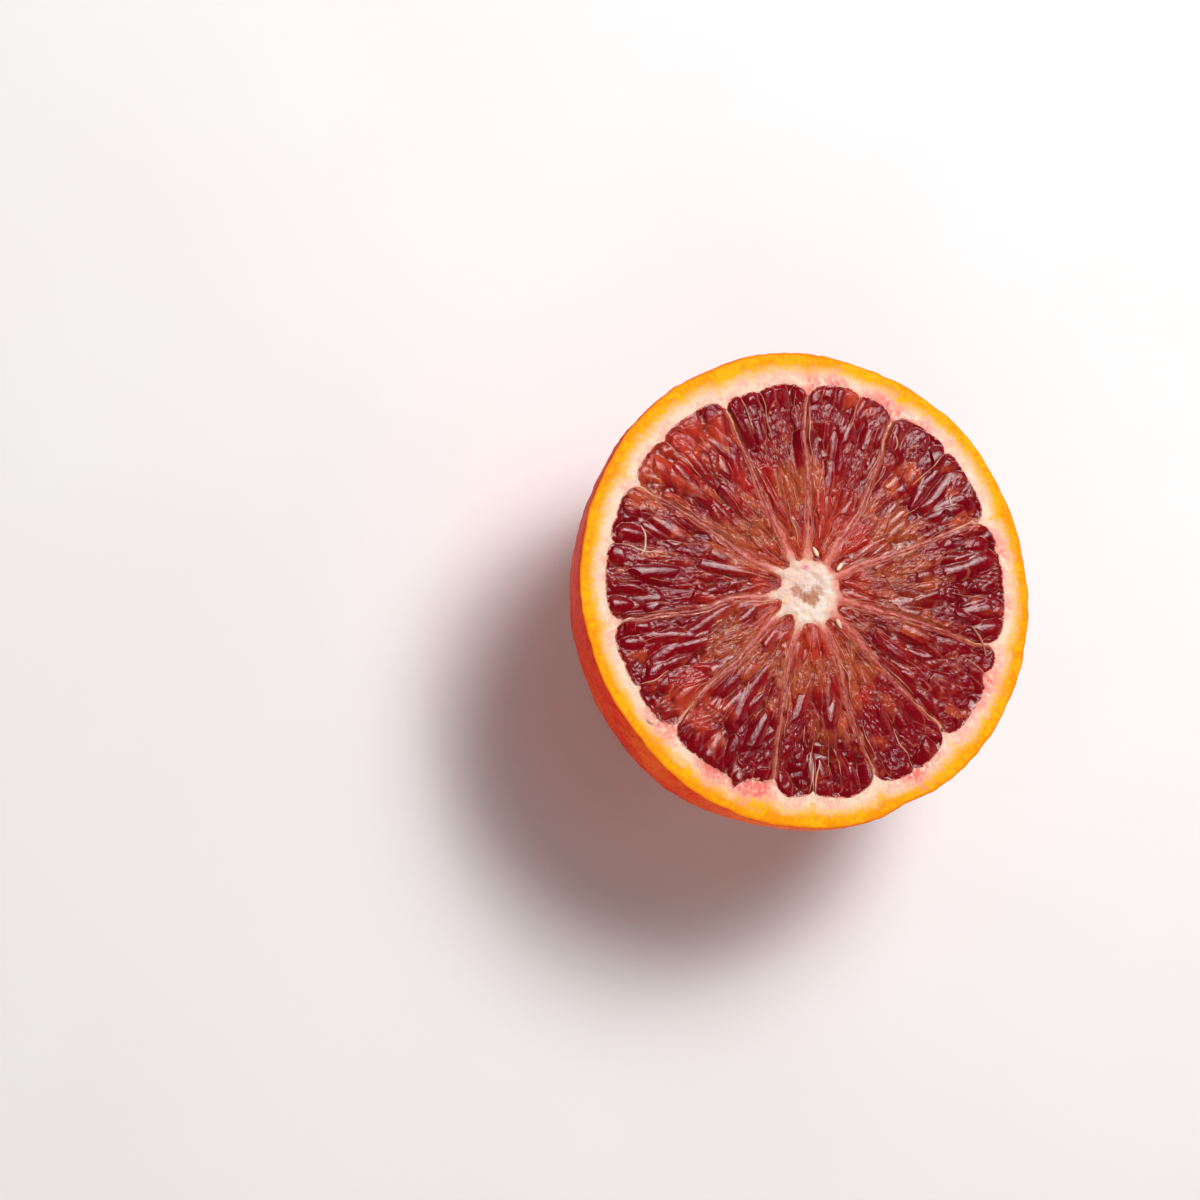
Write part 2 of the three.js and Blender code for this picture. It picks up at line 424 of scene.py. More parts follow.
flesh = {
    "columns": 170,
    "rows": 250,
    "innerRadius": 4,
    "floorBelowCut": 4,
    "overlap": 0.3,         # how far it runs in over the membranes, in shares of their half thickness
    "sideLevel": -0.12,     # its height beside them, and how wide the strip is that comes down to it
    "sideWidth": 0.45,
    "rindLevel": -0.06,
    "rindWidth": 0.8,
    "coreWidth": 0.6,
    "dives": (0.6, 0.8),    # how steeply it runs down under the pith and under the core
    "level": -0.06,         # middle height of the flesh against the cut
    # height, unevenness and tint of the pulp between the vesicles
    "fillLevel": -0.16,
    "fillUnevenness": [(1.6, 0.09)],
    "fillTint": [(2.4, 0.35)],
    # rows of juice vesicles from the rind inwards: middle radius, length, width
    "vesicleRows": [(31.2, 5.5, 2.7), (27.8, 7.5, 2.4), (24, 9, 2.2), (19.8, 10, 2),
                    (15.4, 9.5, 1.75), (11.4, 8, 1.45), (8.2, 5, 1.15)],
    "unevenPlace": 0.35,
    "unevenSize": 0.35,
    "lengthShares": (0.85, 1.3),
    "widthShare": 1.2,      # their full width against the width of their place
    "missing": 0.12,        # share of the places without a vesicle
    "lean": 19,             # degrees that a vesicle turns from the line to the core
    "sideSlope": 0.14,
    "endSlope": 0.07,
    "rise": (-0.25, 0.05),
    "dropShape": (2.1, 0.75, 0.4),      # fullness, and how fast it narrows towards each end
    "bulge": 0.33,
    "flatness": 2.3,
    "openedFrom": (0.02, 0.22),     # where a vesicle starts to be opened, and where it wholly is
    "openedByTint": 0.9,
    "cutLevel": 0.03,       # where the knife opened the vesicles
    "cutRelief": (0.2, 0.25),       # how much of their tint and of their shape is left in it
    "patchSize": 5.5,
    "crinkle": 0.04,
    "crinkleSizes": (0.45, 0.95),
    "crinkleShares": (0.65, 0.75),
    "crinkleLeast": 0.15,   # share of it on unopened vesicles
    "crinkleStretch": (20, 0.5),    # where it keeps its width, and how slowly it goes on inwards
    "fineFrom": (8, 18),    # where the fine crinkle sets in outwards, and where it is whole
    "wallRidge": 0.02,
    "wallGap": (0.015, 0.1),        # how far apart in height two vesicles are in and beside a wall
    "skinWidth": 0.4,
    "paintedShadeDepths": (0.05, -0.4),         # painted shade of low places: the height where it is none, and where it is whole
    "underPith": 0.25,
    "bend": 0.012,
    # single large wet vesicles: place, the way the full end points, length, width
    "large": [(3.2, -18.9, 258, 6.5, 2.2), (20, 16.2, 53, 7.5, 1.8), (15.4, 9.7, 39, 5.5, 1.8),
              (5.8, -13, 290, 4, 2.2), (2.3, 10.9, 82, 6.5, 1.6), (-6.7, -8.1, 230, 6.5, 1.6),
              (11.8, 0.8, 28, 4.5, 1.8), (18.9, 2.2, 14, 5.5, 1.7), (19.2, 9.6, 22, 6, 1.5),
              (22, 5.3, 32, 5.5, 1.6), (-30.3, 0.7, 165, 5, 2.6), (20.9, 14, 27, 4, 1.8),
              (-6.8, 11.2, 105, 5, 1.6), (-1.2, 18.7, 88, 4, 1.6), (12.5, 17.7, 73, 4.5, 1.6),
              (23.5, 0, -7, 5, 1.4), (-19.1, -0.4, 164, 4, 1.8), (-4, -22.8, 255, 4.5, 1.8),
              (21.2, -15.4, 333, 4, 1.8), (15.3, 26.7, 89, 4, 2.4), (-18.1, -7.9, 202, 4, 1.6),
              (-29.3, -7.2, 184, 4, 1.6), (-12.6, -29.7, 248, 3.4, 2.8)],
    "largeRise": 0.02,
    "largeTint": (0.2, 0.4),
    "towardsLight": (-0.07, 0.16),  # slope that their tops take, as far as largestSlope allows
    "largestSlope": 0.12,
    # where the juice is clear, scarlet, pale or dark: place and size
    "clear": [(-10, 9, 7), (-14, -8, 5), (15, 8, 6), (16, -1, 5), (-5, -13, 5), (6, -13, 5), (-2, 17, 4),
              (-25, 15, 4), (2, -24, 3)],
    "scarlet": [(-8, 17, 4), (8, 8, 4), (-20, -15, 3), (1, -9, 4), (8, -17, 3), (-21, 22, 4)],
    "pale": [(-24, 18, 6), (-17, 25, 4), (-20, -19, 6), (10, 30, 3)],
    "dark": [(20, 21, 6), (26, 0, 6), (22, -6, 6), (0, 25, 4), (-27, 0, 5), (-12, -25, 5), (0, -27, 6),
             (13, -26, 5), (-9, 25, 4), (27, 11, 5), (-21, 7, 5), (-13, 0, 4), (11, 3, 3), (10, -7, 4),
             (16, -3, 3)],
    "seed": 11,
}


def vesiclesOf(index):
    chance = random.Random(flesh["seed"] + index)
    low, high = segmentSides(index)
    found = []
    for row, (radius, length, width) in enumerate(flesh["vesicleRows"]):
        lowAngle = membraneAngle(low, radius)
        span = membraneAngle(high, radius) - lowAngle
        count = max(1, round(math.radians(span) * radius / width))
        for i in range(-1, count + 1):
            share = (i + 0.5 + 0.5 * (row % 2) + flesh["unevenPlace"] * chance.uniform(-1, 1)) / count
            angle = math.radians(lowAngle + span * share)
            out = radius + flesh["unevenPlace"] * length * chance.uniform(-1, 1)
            turn = angle + math.radians(flesh["lean"] * chance.uniform(-1, 1))
            size = 1 + flesh["unevenSize"] * chance.uniform(-1, 1)
            if chance.random() < flesh["missing"]:
                continue
            found.append({
                "x": out * math.cos(angle),
                "y": out * math.sin(angle),
                "axis": (math.cos(turn), math.sin(turn)),
                "halfLength": length / 2 * size * chance.uniform(*flesh["lengthShares"]),
                "halfWidth": width / 2 * size * flesh["widthShare"],
                "rise": chance.uniform(*flesh["rise"]),
                "sideSlope": flesh["sideSlope"] * chance.uniform(-1, 1),
                "endSlope": flesh["endSlope"] * chance.uniform(-1, 1),
                "bend": flesh["bend"] * chance.uniform(-1, 1),
                "tint": chance.random(),
            })
    for x, y, way, length, width in flesh["large"]:
        around, radius = polar(x, y)
        past = turnFrom(around, membraneAngle(low, radius)) > 0
        if past and turnFrom(membraneAngle(high, radius), around) > 0:
            axis = (math.cos(math.radians(way)), math.sin(math.radians(way)))
            slope = -(axis[0] * flesh["towardsLight"][0] + axis[1] * flesh["towardsLight"][1])
            found.append({
                "x": x,
                "y": y,
                "axis": axis,
                "halfLength": length / 2,
                "halfWidth": width / 2 * flesh["widthShare"],
                "rise": flesh["largeRise"],
                "sideSlope": 0,
                "endSlope": max(-flesh["largestSlope"], min(flesh["largestSlope"], slope)),
                "bend": 0,
                "tint": chance.uniform(*flesh["largeTint"]),
            })
    return found


# 1 in the middle of any of the places, fading out over their sizes
def nearPlaces(x, y, places):
    near = sum(np.exp(-((x - px) ** 2 + (y - py) ** 2) / size ** 2) for px, py, size in places)
    return np.clip(near, 0, 1)


# Height of the tallest drop-shaped vesicle over each place, of the next one, and the first one's tint
def tallestVesicles(vesicles, x, y):
    best = flesh["fillLevel"] + unevennessOf(x, y, 0, flesh["fillUnevenness"], flesh["seed"] + 3)
    second = best - 0.25
    tint = np.clip(0.5 + unevennessOf(x, y, 0, flesh["fillTint"], flesh["seed"] + 4), 0, 1)
    fullness, inner, outer = flesh["dropShape"]
    for v in vesicles:
        near = np.flatnonzero((x - v["x"]) ** 2 + (y - v["y"]) ** 2 < v["halfLength"] ** 2)
        dx, dy = x[near] - v["x"], y[near] - v["y"]
        along = dx * v["axis"][0] + dy * v["axis"][1]
        beside = dy * v["axis"][0] - dx * v["axis"][1]
        beside = beside + v["bend"] * along ** 2
        # a drop: full towards its outer end and thin towards the core
        share = (along / v["halfLength"] + 1) / 2
        inside = np.clip(share, 0.01, 0.99)
        width = v["halfWidth"] * fullness * inside ** inner * (1 - inside) ** outer
        top = flesh["bulge"] * width * (1 - np.abs(beside / width) ** flesh["flatness"])
        top = top + v["rise"] + v["sideSlope"] * beside + v["endSlope"] * along
        top = np.where(share == inside, top, -3)
        isBest = top > best[near]
        second[near] = np.where(isBest, best[near], np.maximum(second[near], top))
        tint[near] = np.where(isBest, v["tint"], tint[near])
        best[near] = np.where(isBest, top, best[near])
    return best, second, tint


# The wet upper side of one segment: its height against the cut, and what its finish reads
def segmentSurface(index, vesicles, x, y):
    low, high = segmentSides(index)
    angle, radius = polar(x, y)
    lowSide = np.radians(turnFrom(angle, membraneAngle(low, radius))) * radius
    highSide = np.radians(turnFrom(membraneAngle(high, radius), angle)) * radius
    fromSide = np.minimum(lowSide, highSide) - membraneThickness(radius) / 2
    fromRind = fleshEdge(angle) - radius
    best, second, tint = tallestVesicles(vesicles, x, y)
    # places drawn out towards the core, so that the crinkles run that way
    width, pace = flesh["crinkleStretch"]
    drawn = (x / radius * width, y / radius * width, radius * pace)
    patch = unevenness(x, y, 0, flesh["patchSize"], flesh["seed"])
    opened = easeBetween(*flesh["openedFrom"], patch + flesh["openedByTint"] * (tint - 0.5))
    byTint, byShape = flesh["cutRelief"]
    flat = flesh["cutLevel"] + byTint * (tint - 0.5) + byShape * (best - flesh["cutLevel"])
    height = np.where(best > flat, between(best, flat, opened), best)
    fineSize, coarseSize = flesh["crinkleSizes"]
    fineShare, coarseShare = flesh["crinkleShares"]
    coarse = unevenness(*drawn, coarseSize, flesh["seed"] + 6)
    fine = unevenness(*drawn, fineSize, flesh["seed"] + 1) * easeBetween(*flesh["fineFrom"], radius)
    crinkle = coarseShare * coarse + fineShare * fine
    height = height + flesh["crinkle"] * between(flesh["crinkleLeast"], 1, opened) * crinkle
    wall = 1 - easeBetween(*flesh["wallGap"], best - second)
    height = height + flesh["wallRidge"] * wall * (1 + unevenness(x, y, 0, 2.5, flesh["seed"] + 2))
    height = height + flesh["level"]
    height = between(flesh["sideLevel"], height, easeBetween(-0.1, flesh["sideWidth"], fromSide))
    height = between(flesh["rindLevel"], height, easeBetween(-0.1, flesh["rindWidth"], fromRind))
    fromCore = radius - coreEdge(angle)
    underPith, underCore = flesh["dives"]
    height = height - underPith * np.maximum(0, -fromRind)
    height = between(flesh["sideLevel"], height, easeBetween(0, flesh["coreWidth"], fromCore))
    height = height - underCore * np.maximum(0, -fromCore)
    marks = {
        "tint": tint,
        "opened": opened,
        "wall": wall,
        "skin": 1 - easeBetween(0, flesh["skinWidth"], np.minimum(fromSide, fromCore)),
        "rim": 1 - np.clip(fromRind, 0, 1),
        # painted shade: how low the flesh lies, which darkens its colour between the vesicles
        "depth": easeBetween(*flesh["paintedShadeDepths"], height),
    }
    for name in ("clear", "scarlet", "pale", "dark"):
        marks[name] = nearPlaces(x, y, flesh[name])
    return height, marks


def makeSegment(index, vesicles, materials):
    low, high = segmentSides(index)
    marks = {}

    def place(across, out):
        radius = between(flesh["innerRadius"], fruit["fleshRadius"], out)
        inset = membraneThickness(radius) / 2 * (1 - flesh["overlap"]) / radius
        lowSide = np.radians(membraneAngle(low, radius)) + inset
        highSide = np.radians(membraneAngle(high, radius)) - inset
        angle = between(lowSide, highSide, across)
        radius = between(flesh["innerRadius"], fleshEdge(np.degrees(angle)) + flesh["underPith"], out)
        x, y = placeAt(angle, radius)
        height, found = segmentSurface(index, vesicles, x, y)
        marks.update(found)
        return x, y, cut + height

    sheet = warpedSheet(flesh["columns"], flesh["rows"], place)
    surfaceCount = len(sheet.verts)
    closeBelow(sheet, cut - flesh["floorBelowCut"])
    below = np.zeros(len(sheet.verts) - surfaceCount)
    piece = pieceFrom(f"segment_{index + 1:02d}", sheet, materials)
    for name, values in marks.items():
        writeAttribute(piece, name, np.concatenate([values, below]))


def fleshFinish():
    f = Finish("flesh")
    x, y, _, radius = f.axes()
    tint, opened, rim = (f.attribute(name) for name in ("tint", "opened", "rim"))
    streaks = f.noise(1.1, 3, 0.6, 0.5, f.drawnOut(x, y, radius, 6))
    drift = f.noise(9, 2, 0.5)
    towardsCore = (30 - radius + (drift - 0.5) * 22 + (tint - 0.5) * 8).ease(0, 26)
    base = f.add("ShaderNodeValToRGB", {"stops": [
        (0, (0.23, 0.002, 0.008)),
        (0.4, (0.27, 0.004, 0.008)),
        (0.75, (0.36, 0.018, 0.012)),
        (1, (0.48, 0.03, 0.012)),
    ]}, {0: towardsCore})
    # some vesicles are clear, where the juice has hardly any red, and some scarlet, pale or dark
    patchy = (f.noise(3.5, 1, 0.5, 0.4) - 0.5) * 1.2 + (tint - 0.5) * 0.4
    clear = (f.attribute("clear") * 0.6 + patchy).ease(0.2, 0.5)
    scarlet = (f.attribute("scarlet") * 0.6 - patchy).ease(0.2, 0.5)
    pale = (f.attribute("pale") * 0.6 + patchy).ease(0.15, 0.6)
    dark = (f.attribute("dark") * 0.6 - patchy).ease(0.15, 0.55)
    # the thin skin that holds each segment shows along its edges
    skinColour = f.mix((0.6, 0.17, 0.1), (0.64, 0.15, 0.05), (10 - radius).ease(0, 3))
    # pale strands run in to the core through the clear juice, with deep red lines between them
    strands = f.noise(0.34, 2, 0.5, 0.6, f.drawnOut(x, y, radius, 9)).ease(0.6, 0.7)
    gaps = 1 - f.noise(0.5, 2, 0.6, 0.5, f.drawnOut(x, y, radius, 8)).ease(0.34, 0.46)
    # the pith's ragged edge
    torn = (rim + (f.noise(0.8, 3, 0.6) - 0.5) * 1.1).ease(0.84, 1.02)
    tornColour = f.mix((0.92, 0.46, 0.33), (0.84, 0.22, 0.18), f.noise(1.8, 1).ease(0.42, 0.6))
    base = f.layers(base, [
        ((0.44, 0.088, 0.03), clear * (radius.ease(7, 13) * 0.5 + 0.3)),
        ((0.54, 0.02, 0.01), scarlet * 0.6),
        ((0.6, 0.062, 0.026), pale * 0.7),
        ((0.17, 0.001, 0.006), dark * 0.65),
        ((0.17, 0.001, 0.005), (1 - streaks.ease(0.36, 0.52)) * 0.5),
        ((0.46, 0.09, 0.05), streaks.ease(0.58, 0.72) * 0.3),
        # painted shade, darker where the flesh lies low between the vesicles
        ((0.14, 0.001, 0.003), f.attribute("depth") * 0.6),
        ((0.55, 0.16, 0.095), f.attribute("wall") * f.noise(2.2, 1).ease(0.42, 0.62) * 0.5),
        (skinColour, f.attribute("skin") * f.noise(1.6, 2).ease(0.3, 0.6) * 0.65),
        ((0.72, 0.36, 0.16), strands * (clear * 0.5 + towardsCore * 0.3)),
        ((0.26, 0.006, 0.004), gaps * (22 - radius).ease(0, 9) * 0.6),
        (tornColour, torn * 0.9),
    ])
    along = f.drawnOut(x, y, radius, 3)
    fine = f.noise(0.42, 3, 0.6, 1, along) * 0.5 + f.noise(1.1, 2, 0.5, 1.5, along) * 0.9
    relief = f.bump(fine, 0.16, opened * 0.45 + 0.3)
    matt = opened * 0.05 + 0.11 + torn * 0.25
    return f.surface(base, matt, relief, {"IOR": 1.34, **moist(0.2, 2.2, 0.5, 0.3)})


print("flesh")
fleshMaterial = fleshFinish()
vesiclesBySegment = [vesiclesOf(number) for number in segments]
for number, vesicles in enumerate(vesiclesBySegment):
    makeSegment(number, vesicles, [fleshMaterial])


peel = {
    "columns": 600,
    "domeRows": 120,
    "faceRows": 20,
    "rimRounding": 0.3,
    "flavedoWidth": 2.3,
    "lipRounding": 0.1,
    "wallDepth": 3,
    # where the rim stands out or draws in a little, and where the dome does: angle, how far, half width
    "rimSwells": [(243, 0.45, 16), (42, 0.3, 13), (75, -0.3, 9), (295, -0.75, 8), (270, 0.25, 6),
                  (341, 0.2, 9), (213, -0.2, 8)],
    "domeSwells": [(228, 0.45, 16), (188, 0.25, 12), (262, -0.6, 14), (290, -0.5, 12)],
    "swellDepth": 12,       # how far down the dome the rim's swells fade out
    "domeMiddle": 1.8,      # the higher, the nearer to the cut the dome's swells and lean are
    "lean": (1.0, 315),     # how far the dome's upper half is pushed out, and which way
    "bumps": [(11.0, 0.12), (2.4, 0.065)],      # size and height of the rind's unevenness
    "smoothBelow": (8, 16),     # the resting spot's smooth ground, by distance from its middle
    "bumpsOnFace": (3, 0.5),    # how far in from the rim they run out
    "pitSize": 1.45,
    "pitDepth": 0.11,
    "pitsAtRim": (0.7, 1, 0.2),     # share that they lose there, and from how far down to how far down
    "sponge": [(0.7, 0.018)],
    "pithSink": 0.1,
    "sinkFrom": (-0.8, 0.6),        # where it sets in inside the coloured skin's edge, and is whole
    "tears": [(251, 0.3, 5)],       # in the pith beside the flesh: angle, how deep, half width
    "tearReach": (2.2, 0.2),
    "tearRaggedness": [(1.6, 0.5)],
    "crack": {"x": -27.3, "y": -21.8, "length": 1.6, "width": 0.3, "lie": 150, "depth": 0.5},
    "crackSides": (1.1, 0.3),
}


# The half outline that is spun: up the dome, over the rim, across the cut peel and down beside the flesh
def peelProfile():
    faceRadius = fruit["faceRadius"]
    rim, lip = peel["rimRounding"], peel["lipRounding"]
    depth = cut / math.sqrt(1 - (fruit["restRadius"] / faceRadius) ** 2)
    lastTurn = math.acos(fruit["restRadius"] / faceRadius)
    points = [(0, 0)]
    for i in range(peel["domeRows"] + 1):
        turn = lastTurn * (1 - i / peel["domeRows"])
        up = cut - depth * math.sin(turn)
        if up < cut - rim:
            points.append((faceRadius * math.cos(turn), up))
    quarter = [math.radians(90 * i / 4) for i in range(5)]
    for turn in quarter:
        points.append((faceRadius - rim * (1 - math.cos(turn)), cut - rim * (1 - math.sin(turn))))
    inner = fruit["fleshRadius"] + lip
    for i in range(1, peel["faceRows"]):
        points.append((between(faceRadius - rim, inner, i / peel["faceRows"]), cut))
    for turn in quarter:
        points.append((inner - lip * math.sin(turn), cut - lip * (1 - math.cos(turn))))
    for i in range(1, 5):
        points.append((fruit["fleshRadius"], cut - between(lip, peel["wallDepth"], i / 4)))
    points.append((0, cut - peel["wallDepth"]))
    return points


# How far each point of the rind is from the nearest oil gland, in shares of their spacing
def fromPits(x, y, z):
    places = np.stack([x, y, z], axis=-1) / peel["pitSize"]
    return np.array([noise.voronoi(Vector(place))[0][0] for place in places])


def fromCrack(x, y):
    crack = peel["crack"]
    lie = math.radians(crack["lie"])
    dx, dy = x - crack["x"], y - crack["y"]
    along = dx * math.cos(lie) + dy * math.sin(lie)
    beside = dy * math.cos(lie) - dx * math.sin(lie)
    return np.hypot(along / crack["length"], beside / crack["width"]) * 2


def shapePeel(x, y, z, isInside):
    angle, radius = polar(x, y)
    fromRim = fruit["faceRadius"] - radius
    # the cut side: its inner edge follows the flesh
    edge = fleshEdge(angle)
    share = np.clip((radius - fruit["fleshRadius"]) / (fruit["faceRadius"] - fruit["fleshRadius"]), 0, 1)
    newRadius = np.where(isInside & (radius > 1), between(edge, fruit["faceRadius"], share), radius)
    # the rind's unevenness reaches a little way onto the face, and leaves the resting spot alone
    bumps = unevennessOf(x, y, z, peel["bumps"], 3)
    reach = easeBetween(*peel["smoothBelow"], np.hypot(radius, z))
    reach = reach * np.where(isInside, easeBetween(*peel["bumpsOnFace"], fromRim), 1)
    # the oil glands' pits are shallower just below the rim
    pits = (1 - easeBetween(0, 0.5, fromPits(x, y, z))) * peel["pitDepth"]
    loss, start, end = peel["pitsAtRim"]
    pits = pits * np.where(isInside, 0, 1) * (1 - loss * easeBetween(cut - start, cut - end, z))
    swell = swellsAt(angle, peel["rimSwells"]) * easeBetween(cut - peel["swellDepth"], cut, z)
    scale = 1 + (bumps + swell - pits) * reach / np.maximum(np.hypot(radius, cut - z), 1)
    moved = newRadius / np.maximum(radius, 1e-6)
    # the cut pith is spongy and lies a little lower than the skin
    sink = peel["pithSink"] * easeBetween(*peel["sinkFrom"], fromRim - peel["flavedoWidth"])
    sponge = unevennessOf(x, y, z, peel["sponge"], 5) * (1 + sink * 4)
    tear = swellsAt(angle, peel["tears"]) * easeBetween(*peel["tearReach"], newRadius - edge)
    tear = tear * (0.6 + unevennessOf(x, y, z, peel["tearRaggedness"], 6))
    crack = easeBetween(*peel["crackSides"], fromCrack(moved * x, moved * y)) * peel["crack"]["depth"]
    lower = np.where(isInside, sponge - sink - tear - crack, 0)
    height = cut + (z - cut) * scale + lower
    # most about a third of the way down from the cut
    rising = np.clip(z / cut, 0, 1) ** peel["domeMiddle"]
    push = np.where(isInside, 0, np.sin(rising * math.pi) ** 2)
    out = push * swellsAt(angle, peel["domeSwells"])
    amount, way = peel["lean"]
    turn = np.radians(angle)
    x = x * moved * scale + out * np.cos(turn) + push * amount * math.cos(math.radians(way))
    y = y * moved * scale + out * np.sin(turn) + push * amount * math.sin(math.radians(way))
    return x, y, np.where(z < 1e-3, z, height)


def rindFinish():
    f = Finish("rind")
    x, y, z, _ = f.axes()
    drift = f.noise(15, 3, 0.55)
    mottle = f.noise(2, 3, 0.6)
    blush = ((drift - 0.5) * 1.5 + (mottle - 0.5) * 0.9 - x * 0.008 + y * 0.006 + 0.5).ease(0.1, 0.9)
    base = f.mix((0.95, 0.15, 0.01), (0.86, 0.022, 0), blush)
    # painted shade: darker, deeper red further down the dome
    lower = ((39 - z) * 0.05 + (drift - 0.5)).ease(0, 0.9)
    base = f.mix(base, (0.5, 0.008, 0), lower * 0.55)
    gland = f.cells(1.15).ease(0.05, 0.5)
    grain = f.noise(0.45, 3, 0.65)
    base = f.mix((0.56, 0.03, 0.002), base, gland * 0.3 + grain.ease(0.35, 0.6) * 0.3 + 0.45)
    relief = f.bump(gland * 0.6 + grain * 0.5, 0.3, 1)
    others = {"IOR": 1.45, "Specular IOR Level": 0.08, **moist(0.12, 2, 0.7, 0.2)}
    return f.surface(base, 0.42, relief, others)


def pithFinish():
    f = Finish("pith")
    x, y, _, radius = f.axes()
    drift = f.noise(3.2, 2, 0.6)
    grain = f.noise(0.8, 3, 0.65)
    streaks = f.noise(0.55, 3, 0.65, 0, f.drawnOut(x, y, radius, 4, 38))
    patches = drift * 0.35 + grain * 0.25 + streaks * 0.4
    cream = f.mix((0.97, 0.75, 0.56), (0.96, 0.5, 0.38), (drift * 0.6 + streaks * 0.4).ease(0.42, 0.66))
    # the coloured outer skin seen in the cut, which fades into the pith through pale yellow
    fromEdge = f.attribute("fromEdge")
    ragged = fromEdge + (drift - 0.5) * 1.6 + (grain - 0.5) * 0.6 + (streaks - 0.5) * 2.2 - 0.2
    yellow = f.mix((0.98, 0.5, 0.006), (0.98, 0.32, 0.002), patches.ease(0.42, 0.58))
    base = f.mix((0.96, 0.58, 0.22), cream, ragged.ease(2.1, 3.2))
    base = f.mix(yellow, base, ragged.ease(1.2, 2.4))
    base = f.mix((0.94, 0.26, 0.006), base, (fromEdge + (grain - 0.5) * 0.6).ease(0.1, 0.55))
    # pale oil specks, partly painted glints, and pink where juice has soaked in beside the flesh
    specksAndGlints = f.noise(0.6, 2, 0.6).ease(0.56, 0.66) * ragged.ease(1.8, 3)
    stain = f.attribute("stain") * patches.ease(0.36, 0.6)
    base = f.layers(base, [
        # pale oil specks, partly painted glints
        ((0.97, 0.85, 0.72), specksAndGlints * 0.4),
        ((0.95, 0.38, 0.31), stain.ease(0.05, 0.45) * 0.85),
        ((0.93, 0.17, 0.15), stain.ease(0.42, 0.85) * 0.8),
        ((0.3, 0.05, 0.02), f.attribute("crack") * 0.8),
    ])
    relief = f.bump(grain * 0.6 + streaks * 0.6, 0.14, 0.5)
    return f.surface(base, 0.55, relief, {"Specular IOR Level": 0.04, **moist(0.2, 1.5, 0.8, 0.4)})


def makePeel():
    profile = peelProfile()
    shape = bmesh.new()
    corners = [shape.verts.new((r * mm, 0, z * mm)) for r, z in profile]
    line = [shape.edges.new(pair) for pair in zip(corners, corners[1:])]
    bmesh.ops.spin(shape, geom=corners + line, cent=(0, 0, 0), axis=(0, 0, 1), angle=math.tau,
                   steps=peel["columns"], use_merge=True, use_duplicate=False)
    bmesh.ops.remove_doubles(shape, verts=shape.verts, dist=1e-7)
    bmesh.ops.recalc_face_normals(shape, faces=shape.faces)
    x, y, z = (np.array([v.co for v in shape.verts]) / mm).T
    radius = np.hypot(x, y)
    isInside = (radius < fruit["faceRadius"] - 1) & (z > cut - peel["wallDepth"] - 0.1)
    isInside = isInside | (z > cut - 0.12)
    fromEdge = fruit["faceRadius"] - radius
    # the cut through the peel takes the pith's finish, and the dome the rind's
    for face in shape.faces:
        face.material_index = 1 if all(isInside[v.index] for v in face.verts) else 0
    x, y, z = shapePeel(x, y, z, isInside)
    moveVertices(shape, x, y, z)
    angle, radius = polar(x, y)
    stain = swellsAt(angle, fruit["stains"])
    beside = 1 - easeBetween(-0.5, 3, radius - fruit["fleshRadius"])
    stain = np.clip(0.2 * beside + stain * (0.25 + 0.9 * beside), 0, 1)
    stain = stain * (radius < fruit["stainsWithin"])
    piece = pieceFrom("peel", shape, [rindFinish(), pithFinish()])
    writeAttribute(piece, "stain", stain)
    writeAttribute(piece, "fromEdge", fromEdge)
    writeAttribute(piece, "crack", 1 - easeBetween(0.4, 1.2, fromCrack(x, y)))
    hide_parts("orange_half")


print("peel")
makePeel()


# A closed tube whose place is given for each share round it and along it
def tubeShape(around, steps, place):
    shape = warpedSheet(around, steps, place)
    bmesh.ops.remove_doubles(shape, verts=shape.verts, dist=1e-7)
    bmesh.ops.holes_fill(shape, edges=[e for e in shape.edges if e.is_boundary], sides=0)
    bmesh.ops.recalc_face_normals(shape, faces=shape.faces)
    return shape


membrane = {
    "steps": 200,
    "around": 16,
    "innerRadius": 3.6,
    "thickening": [(1.8, 0.22)],    # size and amount
    "flare": (0.5, 1.8),    # how much wider it gets where it meets the pith, and over what length
    "top": -0.07,
    "topUnevenness": [(2.6, 0.05)],
    "outerDive": (0.2, 1.2),        # how far the top sinks into the pith, and over what length
    "innerDive": (0.35, 1.6),       # and under the core
    "depth": 3,
    "squareness": 0.35,
}


# The pithy white of the core, pink towards the membranes and most of all at the upper right
def coreColour(f, x, y, radius):
    soft = f.noise(1.3, 3, 0.6)
    warmth = ((soft - 0.5) * 2 - x * 0.08 + y * 0.08).ease(-0.3, 0.3)
    spots = f.noise(0.95, 1).ease(0.54, 0.66) * radius.ease(2.6, 4)
    reach = radius + (soft - 0.5) * 3 + (x + y * 0.7) * 0.2
    return f.layers(f.mix((0.87, 0.76, 0.65), (0.85, 0.6, 0.5), warmth), [
        ((0.95, 0.58, 0.22), spots * 0.6),
        ((0.86, 0.44, 0.33), reach.ease(3.9, 5.8) * 0.85),
        ((0.66, 0.12, 0.08), reach.ease(4.7, 7) * 0.95),
    ])


